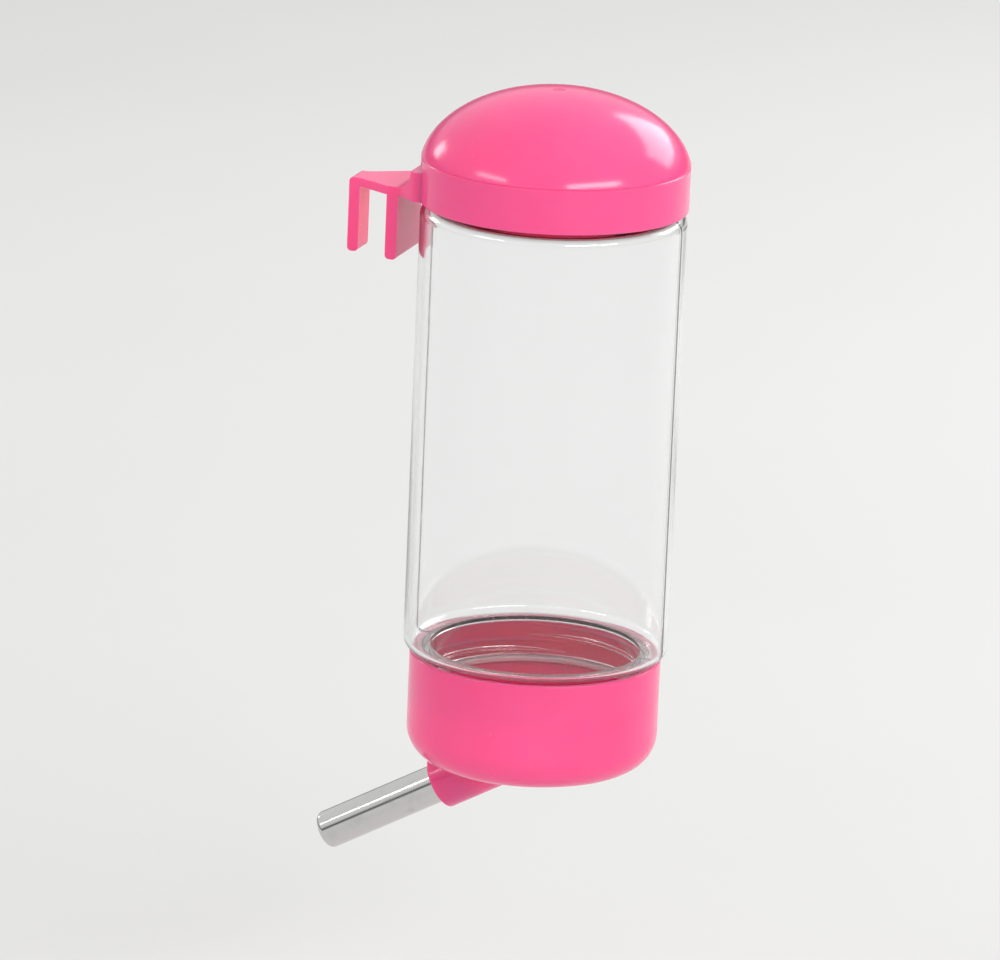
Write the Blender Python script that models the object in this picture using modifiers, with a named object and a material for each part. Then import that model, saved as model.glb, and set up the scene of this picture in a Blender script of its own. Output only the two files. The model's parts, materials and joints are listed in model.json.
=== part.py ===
"""Hanging water bottle for rabbits: a domed screw lid with a moulded-in hook,
a clear bottle open at both ends, and a screw cup that carries a steel
ball-point drinking spout.

Lengths are in metres. The frame's origin is the seat of the hook, where the
strap rests on a cage wire, and +Z is up. The bottle's own axis is vertical
and stands HOOK_REACH behind the seat, along -Y.
"""

import math

import bmesh
import bpy

MM = 0.001

# clearances
FIT_GAP = 0.3 * MM            # between pieces that touch
THREAD_ROOM = 2.0 * MM        # between a neck's wall and the wall screwed over it
SHOULDER_GAP = 0.5 * MM       # between the bottle's shoulders and what is screwed on

# bottle
BOTTLE_RADIUS = 37.5 * MM
BOTTLE_WALL = 1.5 * MM
BOTTLE_LENGTH = 129.0 * MM    # from shoulder to shoulder, without the necks
SHOULDER_RADIUS = 3.5 * MM
NECK_WALL = 2.0 * MM
TOP_NECK_HEIGHT = 10.5 * MM
LOWER_NECK_HEIGHT = 10.0 * MM

# screw threads, right-handed
THREAD_PITCH = 4.5 * MM
THREAD_BEAD = 1.1 * MM        # radius of the round bead
THREAD_PROUD = 0.2 * MM       # bead's centre, proud of its wall
THREAD_TAPER = 0.3            # radius of a bead's ends, as a share of its own

# lid
LID_OVERHANG = 0.2 * MM       # skirt's radius, more than the bottle's
LID_WALL = 1.8 * MM
SKIRT_HEIGHT = 13.0 * MM
DOME_RISE = 20.0 * MM
DOME_SUNK = 4.0 * MM          # middle of the dome's ellipse, below the skirt's top

# hook
LEG_GAP = 4.7 * MM            # from the skirt to the inner leg
WIRE_GAP = 9.9 * MM           # between the legs
WIRE_PLACE = 3.8 * MM         # from the outer leg to the middle of the wire
STRAP_THICKNESS = 2.5 * MM
STRAP_FILLET = 6.0 * MM       # hollow fillet from the strap up the skirt
INNER_LEG = (3.5 * MM, 18.5 * MM)     # thickness, drop
OUTER_LEG = (3.2 * MM, 18.8 * MM)
STRAP_ROOT_WIDTH = 32.0 * MM
INNER_LEG_WIDTH = 21.0 * MM
OUTER_LEG_WIDTH = 9.0 * MM
LEG_ROUND = 1.0 * MM          # rounding of the legs' lower ends

# seal rings
SEAL_THICKNESS = 1.7 * MM
SEAL_LIP = 0.7 * MM           # how far a seal reaches inside its neck's wall

# cup
CUP_INSET = 1.9 * MM          # cup's radius, less than the bottle's
CUP_WALL = 1.8 * MM
CUP_HEIGHT = 32.0 * MM
CUP_FILLET = 10.0 * MM
SEAT_WIDTH = 3.0 * MM         # ledges that the seals press on

# drinking spout, measured along its own axis from the boss's end face
SPOUT_DROOP = math.radians(29.5)      # below the horizontal
BOSS_INSET = 9.2 * MM         # end face's middle, in from the cup's side
BOSS_DROP = 10.0 * MM         # and below the cup's underside
BOSS_WALL = 1.0 * MM
BOSS_LENGTH = 42.0 * MM
SOCKET_DEPTH = 10.0 * MM
PASSAGE_RADIUS = 4.5 * MM
BUSH_WALL = 0.8 * MM
SPOUT_RADIUS = 5.5 * MM
SPOUT_WALL = 0.6 * MM
SPOUT_LENGTH = 39.3 * MM      # out of the boss
SPOUT_LIP = 1.6 * MM          # outer radius of the rolled-in tip
BALL_STOP_DEPTH = 19.3 * MM   # from the tip in to the spring stop
STOP_THICKNESS = 3.0 * MM
STOP_BORE = 2.0 * MM
SPRING_WIRE = 0.25 * MM       # wire's radius
SPRING_ROOM = 1.0 * MM        # between the spring and the tube
SPRING_TURNS = 6

# smoothness
TURN_STEPS = 40
SPOUT_STEPS = 24
ARC_STEPS = 4
DOME_STEPS = 12
BEAD_POINTS = 24              # points a turn along a thread
BEAD_RESOLUTION = 2
SPRING_POINTS = 12            # points a turn along the spring
MERGE = 0.00001
OVERCUT = 5.0 * MM            # how far a cutter runs past what it cuts

# places that follow
SHOULDER_Z = -SHOULDER_GAP
HEEL_Z = SHOULDER_Z - BOTTLE_LENGTH
LID_RADIUS = BOTTLE_RADIUS + LID_OVERHANG
INNER_LEG_IN = LID_RADIUS + LEG_GAP
INNER_LEG_OUT = INNER_LEG_IN + INNER_LEG[0]
OUTER_LEG_IN = INNER_LEG_OUT + WIRE_GAP
OUTER_LEG_OUT = OUTER_LEG_IN + OUTER_LEG[0]
HOOK_REACH = OUTER_LEG_IN - WIRE_PLACE             # bottle's axis to the wire's
LID_BORE = LID_RADIUS - LID_WALL
TOP_NECK = LID_BORE - THREAD_ROOM
TOP_RIM_Z = SHOULDER_Z + TOP_NECK_HEIGHT
LID_SEAT_Z = TOP_RIM_Z + SEAL_THICKNESS + 2 * FIT_GAP
LID_SEAT_BORE = LID_BORE - SEAT_WIDTH - 2 * SEAL_LIP
CUP_RADIUS = BOTTLE_RADIUS - CUP_INSET
CUP_BORE = CUP_RADIUS - CUP_WALL
LOWER_NECK = CUP_BORE - THREAD_ROOM
LOWER_RIM_Z = HEEL_Z - LOWER_NECK_HEIGHT
CUP_TOP_Z = HEEL_Z - SHOULDER_GAP
CUP_BASE_Z = CUP_TOP_Z - CUP_HEIGHT
CUP_SEAT_Z = LOWER_RIM_Z - SEAL_THICKNESS - 2 * FIT_GAP
CUP_SEAT_BORE = CUP_BORE - SEAT_WIDTH
BOSS_END = CUP_RADIUS - BOSS_INSET
SOCKET_RADIUS = SPOUT_RADIUS + BUSH_WALL + 2 * FIT_GAP
BOSS_RADIUS = SOCKET_RADIUS + BOSS_WALL
SPOUT_BORE = SPOUT_RADIUS - SPOUT_WALL
TIP_OPENING = SPOUT_RADIUS - SPOUT_LIP
BALL_RADIUS = SPOUT_BORE - FIT_GAP
LIP_INSIDE = SPOUT_LENGTH - SPOUT_WALL
BALL_PLACE = LIP_INSIDE - math.sqrt((BALL_RADIUS + FIT_GAP) ** 2 - TIP_OPENING ** 2)


def material(name, colour, roughness, metallic=0.0, alpha=1.0):
    """Return a Principled material of this colour."""
    finish = bpy.data.materials.new(name)
    finish.use_nodes = True
    shader = finish.node_tree.nodes["Principled BSDF"]
    shader.inputs["Base Color"].default_value = (*colour, 1.0)
    shader.inputs["Roughness"].default_value = roughness
    shader.inputs["Metallic"].default_value = metallic
    shader.inputs["Alpha"].default_value = alpha
    finish.diffuse_color = (*colour, alpha)
    return finish


def place(name, data, collection, parent, finish=None):
    """Add an object to a collection, under its parent."""
    obj = bpy.data.objects.new(name, data)
    collection.objects.link(obj)
    obj.parent = parent
    if finish:
        data.materials.append(finish)
    return obj


def as_cutter(obj):
    """Mark a solid that only shapes other pieces."""
    obj.hide_render = True
    obj.display_type = "WIRE"
    return obj


def arc(centre, radius, start, end, steps=ARC_STEPS):
    """Return points on an arc, angles in degrees, both ends included."""
    turn = math.radians(end - start) / steps
    angles = [math.radians(start) + turn * i for i in range(steps + 1)]
    return [(centre[0] + radius * math.cos(a), centre[1] + radius * math.sin(a)) for a in angles]


def turned(name, profile, collection, parent, finish=None, closed=False, steps=TURN_STEPS):
    """Turn a profile of (radius, height) points about local Z."""
    mesh = bpy.data.meshes.new(name)
    count = len(profile)
    edges = [(i, i + 1) for i in range(count - 1)]
    if closed:
        edges.append((count - 1, 0))
    mesh.from_pydata([(r, 0.0, z) for r, z in profile], edges, [])
    obj = place(name, mesh, collection, parent, finish)
    screw = obj.modifiers.new("turn", "SCREW")
    screw.steps = steps
    screw.render_steps = steps
    screw.use_merge_vertices = True
    screw.merge_threshold = MERGE
    screw.use_smooth_shade = True
    return obj


def meshed(curve_obj, collection):
    """Replace a curve by a mesh object of the same shape, its caps welded on."""
    graph = bpy.context.evaluated_depsgraph_get()
    mesh = bpy.data.meshes.new_from_object(curve_obj.evaluated_get(graph))
    mesh.name = curve_obj.name
    shell = bmesh.new()
    shell.from_mesh(mesh)
    bmesh.ops.remove_doubles(shell, verts=shell.verts, dist=MERGE)
    bmesh.ops.recalc_face_normals(shell, faces=shell.faces)
    shell.to_mesh(mesh)
    shell.free()
    solid = bpy.data.objects.new(curve_obj.name + "_solid", mesh)
    collection.objects.link(solid)
    solid.matrix_world = curve_obj.matrix_world.copy()
    bpy.data.objects.remove(curve_obj)
    return solid


def wire(name, points, radius, collection, finish=None, radii=None):
    """Return a round wire along the points, as a curve with filled caps."""
    curve = bpy.data.curves.new(name, "CURVE")
    curve.dimensions = "3D"
    curve.twist_mode = "Z_UP"
    curve.bevel_depth = radius
    curve.bevel_resolution = BEAD_RESOLUTION
    curve.use_fill_caps = True
    spline = curve.splines.new("POLY")
    spline.points.add(len(points) - 1)
    for i, (x, y, z) in enumerate(points):
        spline.points[i].co = (x, y, z, 1.0)
        spline.points[i].radius = radii[i] if radii else 1.0
    return place(name, curve, collection, None, finish)


def plate(name, outline, half_thickness, collection):
    """Return a flat outline with thickness, as a filled 2D curve."""
    curve = bpy.data.curves.new(name, "CURVE")
    curve.dimensions = "2D"
    curve.fill_mode = "BOTH"
    curve.extrude = half_thickness
    spline = curve.splines.new("POLY")
    spline.points.add(len(outline) - 1)
    for i, (x, y) in enumerate(outline):
        spline.points[i].co = (x, y, 0.0, 1.0)
    spline.use_cyclic_u = True
    return place(name, curve, collection, None)


def helix(radius, start_z, turns, pitch, points_a_turn):
    """Return points of a right-handed helix about Z that starts at +X."""
    count = round(turns * points_a_turn) + 1
    points = []
    for i in range(count):
        angle = 2 * math.pi * i / points_a_turn
        height = start_z + pitch * i / points_a_turn
        points.append((radius * math.cos(angle), radius * math.sin(angle), height))
    return points


def thread_turns(neck_height):
    """Return how many turns fit on a neck, with the other thread half a pitch off."""
    room = neck_height - SHOULDER_GAP - FIT_GAP - 2 * THREAD_BEAD
    return room / THREAD_PITCH - 0.5


def thread_bead(name, radius, start_z, turns, collection, parent):
    """Return one thread's round bead, thinner at its two ends."""
    points = helix(radius, start_z, turns, THREAD_PITCH, BEAD_POINTS)
    radii = [1.0] * len(points)
    radii[0] = THREAD_TAPER
    radii[-1] = THREAD_TAPER
    bead = meshed(wire(name, points, THREAD_BEAD, collection, radii=radii), collection)
    bead.parent = parent
    return as_cutter(bead)


def boolean(obj, other, operation):
    """Join, cut or intersect an object with another solid."""
    step = obj.modifiers.new(other.name, "BOOLEAN")
    step.object = other
    step.operation = operation
    step.solver = "EXACT"


def dome(wall, edge):
    """Return the dome's outline from its top to this radius, less a wall."""
    rise = DOME_RISE + DOME_SUNK
    reach = LID_RADIUS / math.sqrt(1.0 - (DOME_SUNK / rise) ** 2)
    middle = SKIRT_HEIGHT - DOME_SUNK
    meet = math.degrees(math.acos(edge / (reach - wall)))
    outline = [(0.0, middle + rise - wall)]
    for x, y in arc((0.0, 0.0), 1.0, 90.0, meet, DOME_STEPS)[1:]:
        outline.append((x * (reach - wall), middle + y * (rise - wall)))
    return outline


def lid_outside():
    """Return the outline of the lid's outside, from its top down and in."""
    return dome(0.0, LID_RADIUS) + [(LID_RADIUS, 0.0), (0.0, 0.0)]


def lid_inside():
    """Return the outline of the hollow that the lid's threads and seal need."""
    outline = dome(LID_WALL, LID_SEAT_BORE)
    outline += [(LID_SEAT_BORE, LID_SEAT_Z), (LID_BORE, LID_SEAT_Z)]
    outline += [(LID_BORE, -OVERCUT), (0.0, -OVERCUT)]
    return outline


def hook_side():
    """Return the hook seen from the side: x runs out from the axis, y up."""
    root = LID_BORE - OVERCUT
    fillet = (LID_RADIUS + STRAP_FILLET, STRAP_THICKNESS + STRAP_FILLET)
    outline = [(root, 0.0), (INNER_LEG_IN, 0.0)]
    outline += leg_end(INNER_LEG_IN, INNER_LEG_OUT, -INNER_LEG[1])
    outline += [(INNER_LEG_OUT, 0.0), (OUTER_LEG_IN, 0.0)]
    outline += leg_end(OUTER_LEG_IN, OUTER_LEG_OUT, -OUTER_LEG[1])
    outline += arc((OUTER_LEG_OUT - LEG_ROUND, STRAP_THICKNESS - LEG_ROUND), LEG_ROUND, 0.0, 90.0)
    outline += arc(fillet, STRAP_FILLET, 270.0, 180.0)
    outline += [(root, STRAP_THICKNESS + STRAP_FILLET)]
    return outline


def leg_end(inner, outer, bottom):
    """Return the two rounded corners at the bottom of a leg."""
    corners = arc((inner + LEG_ROUND, bottom + LEG_ROUND), LEG_ROUND, 180.0, 270.0)
    return corners + arc((outer - LEG_ROUND, bottom + LEG_ROUND), LEG_ROUND, 270.0, 360.0)


def hook_plan():
    """Return the hook seen from above: x across, y out from the axis."""
    half = [
        (STRAP_ROOT_WIDTH / 2, LID_BORE - 2 * OVERCUT),
        (STRAP_ROOT_WIDTH / 2, LID_BORE),
        (INNER_LEG_WIDTH / 2, INNER_LEG_IN),
        (INNER_LEG_WIDTH / 2, INNER_LEG_OUT),
        (OUTER_LEG_WIDTH / 2, OUTER_LEG_IN),
        (OUTER_LEG_WIDTH / 2, OUTER_LEG_OUT + LEG_ROUND),
    ]
    return half + [(-x, y) for x, y in reversed(half)]


def hook(collection, parent):
    """Return the hook: its side outline, kept where its plan outline is."""
    height = SKIRT_HEIGHT + DOME_RISE
    side = plate("hook_side", hook_side(), STRAP_ROOT_WIDTH, collection)
    side.rotation_euler = (math.radians(90), 0.0, math.radians(90))
    plan = plate("hook_plan", hook_plan(), height, collection)
    bpy.context.view_layer.update()
    solid = meshed(side, collection)
    limits = as_cutter(meshed(plan, collection))
    solid.parent = parent
    limits.parent = parent
    boolean(solid, limits, "INTERSECT")
    return as_cutter(solid)


def build_lid(parts, cutters, axis, finish):
    """Add the lid: dome, skirt, hook, seal seat and inner thread."""
    lid = turned("hook_lid", lid_outside(), parts, axis, finish)
    hollow = as_cutter(turned("lid_hollow", lid_inside(), cutters, axis))
    turns = thread_turns(TOP_NECK_HEIGHT)
    start = TOP_RIM_Z - THREAD_BEAD - THREAD_PITCH * (turns + 0.5)
    bead_radius = LID_BORE - THREAD_PROUD
    bead = thread_bead("lid_thread", bead_radius, start, turns, cutters, axis)
    boolean(lid, hook(cutters, axis), "UNION")
    boolean(lid, hollow, "DIFFERENCE")
    boolean(lid, bead, "UNION")


def bottle_wall():
    """Return the closed outline of the bottle's wall, outside then inside."""
    top = TOP_NECK - NECK_WALL
    low = LOWER_NECK - NECK_WALL
    bend = BOTTLE_RADIUS - SHOULDER_RADIUS
    inner_bend = SHOULDER_RADIUS - BOTTLE_WALL
    high_z = SHOULDER_Z - SHOULDER_RADIUS
    low_z = HEEL_Z + SHOULDER_RADIUS
    outline = [(TOP_NECK, TOP_RIM_Z), (TOP_NECK, SHOULDER_Z)]
    outline += arc((bend, high_z), SHOULDER_RADIUS, 90.0, 0.0)
    outline += arc((bend, low_z), SHOULDER_RADIUS, 0.0, -90.0)
    outline += [(LOWER_NECK, HEEL_Z), (LOWER_NECK, LOWER_RIM_Z), (low, LOWER_RIM_Z)]
    outline += [(low, HEEL_Z + BOTTLE_WALL)]
    outline += arc((bend, low_z), inner_bend, -90.0, 0.0)
    outline += arc((bend, high_z), inner_bend, 0.0, 90.0)
    outline += [(top, SHOULDER_Z - BOTTLE_WALL), (top, TOP_RIM_Z)]
    return outline


def build_bottle(parts, cutters, axis, finish):
    """Add the clear bottle with a threaded neck at each end."""
    bottle = turned("bottle_body", bottle_wall(), parts, axis, finish, closed=True)
    turns = thread_turns(TOP_NECK_HEIGHT)
    start = TOP_RIM_Z - THREAD_BEAD - THREAD_PITCH * turns
    top = thread_bead("top_thread", TOP_NECK + THREAD_PROUD, start, turns, cutters, axis)
    turns = thread_turns(LOWER_NECK_HEIGHT)
    start = LOWER_RIM_Z + THREAD_BEAD
    low = thread_bead("low_thread", LOWER_NECK + THREAD_PROUD, start, turns, cutters, axis)
    boolean(bottle, top, "UNION")
    boolean(bottle, low, "UNION")


def seal_outline(neck, low, high):
    """Return the closed outline of a flat seal ring on a neck's rim."""
    inner = neck - NECK_WALL - SEAL_LIP
    outer = neck + FIT_GAP
    return [(outer, high), (outer, low), (inner, low), (inner, high)]


def build_seals(parts, axis, finish):
    """Add the two seal rings, one on each rim of the bottle."""
    top = seal_outline(TOP_NECK, TOP_RIM_Z + FIT_GAP, LID_SEAT_Z - FIT_GAP)
    low = seal_outline(LOWER_NECK, CUP_SEAT_Z + FIT_GAP, LOWER_RIM_Z - FIT_GAP)
    turned("lid_seal", top, parts, axis, finish, closed=True)
    turned("cup_seal", low, parts, axis, finish, closed=True)


def cup_outside():
    """Return the outline of the cup's outside, from its top down and in."""
    bend = (CUP_RADIUS - CUP_FILLET, CUP_BASE_Z + CUP_FILLET)
    outline = [(0.0, CUP_TOP_Z), (CUP_RADIUS, CUP_TOP_Z)]
    outline += arc(bend, CUP_FILLET, 0.0, -90.0, 2 * ARC_STEPS)
    outline += [(0.0, CUP_BASE_Z)]
    return outline


def cup_inside():
    """Return the outline of the cup's hollow: thread wall, seal seat, bowl."""
    floor = CUP_BASE_Z + CUP_WALL
    fillet = CUP_FILLET - CUP_WALL
    outline = [(0.0, CUP_TOP_Z + OVERCUT), (CUP_BORE, CUP_TOP_Z + OVERCUT)]
    outline += [(CUP_BORE, CUP_SEAT_Z), (CUP_SEAT_BORE, CUP_SEAT_Z)]
    outline += arc((CUP_SEAT_BORE - fillet, floor + fillet), fillet, 0.0, -90.0)
    outline += [(0.0, floor)]
    return outline


def build_cup(parts, cutters, axis, spout, finish):
    """Add the cup: bowl, slanted boss with its socket, inner thread."""
    cup = turned("spout_cup", cup_outside(), parts, axis, finish)
    hollow = as_cutter(turned("cup_hollow", cup_inside(), cutters, axis))
    boss_outline = [(0.0, 0.0), (BOSS_RADIUS, 0.0), (BOSS_RADIUS, -BOSS_LENGTH), (0.0, -BOSS_LENGTH)]
    boss = as_cutter(turned("boss", boss_outline, cutters, spout))
    socket_outline = [(0.0, OVERCUT), (SOCKET_RADIUS, OVERCUT), (SOCKET_RADIUS, -SOCKET_DEPTH)]
    socket_outline += [(PASSAGE_RADIUS, -SOCKET_DEPTH), (PASSAGE_RADIUS, -BOSS_LENGTH)]
    socket_outline += [(0.0, -BOSS_LENGTH)]
    socket = as_cutter(turned("socket", socket_outline, cutters, spout))
    turns = thread_turns(LOWER_NECK_HEIGHT)
    start = LOWER_RIM_Z + THREAD_BEAD + THREAD_PITCH / 2
    bead = thread_bead("cup_thread", CUP_BORE - THREAD_PROUD, start, turns, cutters, axis)
    boolean(cup, boss, "UNION")
    boolean(cup, hollow, "DIFFERENCE")
    boolean(cup, socket, "DIFFERENCE")
    boolean(cup, bead, "UNION")


def spout_wall():
    """Return the closed outline of the steel tube, its foot flanged."""
    foot = FIT_GAP - SOCKET_DEPTH
    flange = SPOUT_RADIUS + FIT_GAP + BUSH_WALL
    bend = SPOUT_LENGTH - SPOUT_LIP
    outline = arc((TIP_OPENING, bend), SPOUT_LIP, 90.0, 0.0)
    outline += [(SPOUT_RADIUS, foot + SPOUT_WALL), (flange, foot + SPOUT_WALL)]
    outline += [(flange, foot), (SPOUT_BORE, foot)]
    outline += arc((TIP_OPENING, bend), SPOUT_LIP - SPOUT_WALL, 0.0, 90.0)
    return outline


def ring(inner, outer, low, high):
    """Return the closed outline of a plain ring."""
    return [(outer, high), (outer, low), (inner, low), (inner, high)]


def build_spout(parts, spout, finishes):
    """Add the bush, steel tube, ball, spring and spring stop."""
    bush_inner = SPOUT_RADIUS + FIT_GAP
    bush_low = SPOUT_WALL + 2 * FIT_GAP - SOCKET_DEPTH
    bush = ring(bush_inner, bush_inner + BUSH_WALL, bush_low, -FIT_GAP)
    turned("spout_bush", bush, parts, spout, finishes["seal"], True, SPOUT_STEPS)
    turned("spout_tube", spout_wall(), parts, spout, finishes["steel"], True, SPOUT_STEPS)
    stop_top = SPOUT_LENGTH - BALL_STOP_DEPTH
    stop = ring(STOP_BORE, SPOUT_BORE - FIT_GAP, stop_top - STOP_THICKNESS, stop_top)
    turned("spring_stop", stop, parts, spout, finishes["stop"], True, SPOUT_STEPS)
    build_ball(parts, spout, finishes["steel"])
    build_spring(parts, spout, stop_top, finishes["steel"])


def build_ball(parts, spout, finish):
    """Add the valve ball, its origin in its middle."""
    mesh = bpy.data.meshes.new("nozzle_ball")
    shell = bmesh.new()
    rings = SPOUT_STEPS // 2
    bmesh.ops.create_uvsphere(shell, u_segments=SPOUT_STEPS, v_segments=rings, radius=BALL_RADIUS)
    shell.to_mesh(mesh)
    shell.free()
    mesh.shade_smooth()
    ball = place("nozzle_ball", mesh, parts, spout, finish)
    ball.location = (0.0, 0.0, BALL_PLACE)


def build_spring(parts, spout, stop_top, finish):
    """Add the spring between the stop and the ball."""
    radius = SPOUT_BORE - SPRING_ROOM - SPRING_WIRE
    reach = BALL_RADIUS + SPRING_WIRE + FIT_GAP
    high = BALL_PLACE - math.sqrt(reach ** 2 - radius ** 2)
    low = stop_top + SPRING_WIRE + FIT_GAP
    pitch = (high - low) / SPRING_TURNS
    points = helix(radius, low, SPRING_TURNS, pitch, SPRING_POINTS)
    spring = wire("ball_spring", points, SPRING_WIRE, parts, finish)
    spring.parent = spout


def main():
    """Build the whole bottle."""
    for obj in list(bpy.data.objects):
        bpy.data.objects.remove(obj)
    scene = bpy.context.scene.collection
    parts = bpy.data.collections.new("rabbit_water_bottle")
    cutters = bpy.data.collections.new("cutters")
    scene.children.link(parts)
    scene.children.link(cutters)
    finishes = {
        "pink": material("pink_plastic", (1.0, 0.12, 0.29), 0.22),
        "clear": material("clear_plastic", (0.86, 0.87, 0.87), 0.08, alpha=0.3),
        "seal": material("silicone", (0.82, 0.82, 0.8), 0.55),
        "steel": material("steel", (0.72, 0.72, 0.71), 0.18, metallic=1.0),
        "stop": material("stop_plastic", (0.8, 0.8, 0.78), 0.4),
    }
    axis = place("bottle_axis", None, parts, None)
    axis.location = (0.0, -HOOK_REACH, 0.0)
    spout = place("spout_axis", None, parts, axis)
    spout.location = (0.0, BOSS_END, CUP_BASE_Z - BOSS_DROP)
    spout.rotation_euler = (-math.pi / 2 - SPOUT_DROOP, 0.0, 0.0)
    bpy.context.view_layer.update()
    build_lid(parts, cutters, axis, finishes["pink"])
    build_bottle(parts, cutters, axis, finishes["clear"])
    build_seals(parts, axis, finishes["seal"])
    build_cup(parts, cutters, axis, spout, finishes["pink"])
    build_spout(parts, spout, finishes)


main()
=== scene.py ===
"""Looks of a hanging rabbit water bottle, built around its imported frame.

The bottle hangs by a hook moulded on its domed screw lid. A clear bottle open at
both ends carries a screw cup with a slanted boss, and a steel ball-point drinking
spout sits in the boss. Every radius and height comes from the frame's boxes and
joints, or from the named sizes of the class that makes the piece. Lengths are in
metres, and an outline is a list of (radius, height) points.
"""

import json
import logging
import math
from collections.abc import Callable, Sequence
from dataclasses import dataclass, field
from enum import Enum

import bmesh
import bpy
from mathutils import Matrix, Quaternion, Vector


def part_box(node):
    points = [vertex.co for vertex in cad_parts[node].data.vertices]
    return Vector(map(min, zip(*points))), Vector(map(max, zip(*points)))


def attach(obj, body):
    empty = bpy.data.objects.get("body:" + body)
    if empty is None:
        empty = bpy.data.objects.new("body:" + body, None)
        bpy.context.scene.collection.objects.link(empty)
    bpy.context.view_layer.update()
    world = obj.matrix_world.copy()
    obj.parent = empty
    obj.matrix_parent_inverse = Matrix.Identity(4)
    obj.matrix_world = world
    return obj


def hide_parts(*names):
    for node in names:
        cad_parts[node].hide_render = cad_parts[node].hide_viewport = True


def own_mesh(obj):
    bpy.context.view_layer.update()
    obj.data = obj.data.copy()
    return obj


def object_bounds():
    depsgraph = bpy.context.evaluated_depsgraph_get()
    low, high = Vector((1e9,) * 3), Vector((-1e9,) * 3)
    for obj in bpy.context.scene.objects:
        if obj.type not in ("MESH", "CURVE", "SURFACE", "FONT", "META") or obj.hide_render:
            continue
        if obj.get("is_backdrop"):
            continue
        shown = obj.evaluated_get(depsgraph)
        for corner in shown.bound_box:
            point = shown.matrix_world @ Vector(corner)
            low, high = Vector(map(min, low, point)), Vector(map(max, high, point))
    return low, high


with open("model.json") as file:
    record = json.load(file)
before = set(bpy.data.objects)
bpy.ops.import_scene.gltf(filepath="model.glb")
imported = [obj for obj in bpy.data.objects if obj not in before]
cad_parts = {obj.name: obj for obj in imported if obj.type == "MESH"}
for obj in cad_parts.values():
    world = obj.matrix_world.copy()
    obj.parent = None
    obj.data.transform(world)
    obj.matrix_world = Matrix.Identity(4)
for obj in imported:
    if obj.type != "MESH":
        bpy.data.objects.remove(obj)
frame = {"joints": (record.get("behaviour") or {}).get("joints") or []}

LOG = logging.getLogger("water_bottle")
MM = 0.001
FIT_GAP = 0.3 * MM         # between pieces that touch
SHOULDER_GAP = 0.5 * MM    # between the bottle's shoulders and what is screwed on
TOP_NECK = 10.5 * MM       # heights of the bottle's necks
LOW_NECK = 10.0 * MM
SEAL_WIDTH = 3.0 * MM
BOSS_OUT = 35.73 * MM      # from the ball's middle back to the boss's end face

Point = tuple[float, float]
Outline = list[Point]
Triple = tuple[float, float, float]


class Body(str, Enum):
    """Bodies of the frame that pieces ride on."""

    LID = "lid"
    UPPER_SEAL = "upper_seal"
    BOTTLE = "bottle"
    LOWER_SEAL = "lower_seal"
    SPOUT = "spout"
    BALL = "ball"


class Slot(str, Enum):
    """Material slots of the record."""

    PINK = "pink_plastic"
    CLEAR = "clear_plastic"
    SILICONE = "silicone"
    STEEL = "steel"
    STOP = "stop_plastic"


class Join(str, Enum):
    """Ways to combine two solids."""

    UNION = "UNION"
    CUT = "DIFFERENCE"
    COMMON = "INTERSECT"


# ---------------------------------------------------------------- outlines


def arc(centre: Point, radius: float, start: float, end: float, steps: int = 10) -> Outline:
    """Give points on an arc, both ends included.

    Args:
        centre: Middle of the arc.
        radius: Its radius.
        start: First angle, in degrees.
        end: Last angle, in degrees.
        steps: Number of chords.

    Returns:
        The points in order.
    """
    angles = [math.radians(start + (end - start) * i / steps) for i in range(steps + 1)]
    return [(centre[0] + radius * math.cos(a), centre[1] + radius * math.sin(a)) for a in angles]


def rounded(corners: Sequence[Triple], steps: int = 6) -> Outline:
    """Round the corners of a closed polygon.

    Args:
        corners: Each corner as (x, y, radius); a radius of 0 keeps it sharp.
        steps: Chords in each rounded corner.

    Returns:
        The outline's points.
    """
    outline: Outline = []
    count = len(corners)
    for i, (x, y, radius) in enumerate(corners):
        if radius == 0:
            outline.append((x, y))
            continue
        here = Vector((x, y))
        back = (Vector(corners[i - 1][:2]) - here).normalized()
        onward = (Vector(corners[(i + 1) % count][:2]) - here).normalized()
        half = back.angle(onward) / 2
        middle = here + (back + onward).normalized() * (radius / math.sin(half))
        first = here + back * (radius / math.tan(half)) - middle
        last = here + onward * (radius / math.tan(half)) - middle
        turn = first.angle_signed(last)
        for k in range(steps + 1):
            spoke = first.copy()
            spoke.rotate(Matrix.Rotation(-turn * k / steps, 2))
            outline.append(tuple(middle + spoke))
    return outline


# ---------------------------------------------------------------- mesh tools


def mesh_object(name: str, shell: bmesh.types.BMesh) -> bpy.types.Object:
    """Turn a bmesh into an object in the scene and free the bmesh.

    Args:
        name: Name of the new object.
        shell: The bmesh, which is used up.

    Returns:
        The object, at the origin.
    """
    bmesh.ops.recalc_face_normals(shell, faces=shell.faces)
    mesh = bpy.data.meshes.new(name)
    shell.to_mesh(mesh)
    shell.free()
    obj = bpy.data.objects.new(name, mesh)
    bpy.context.scene.collection.objects.link(obj)
    return obj


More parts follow.
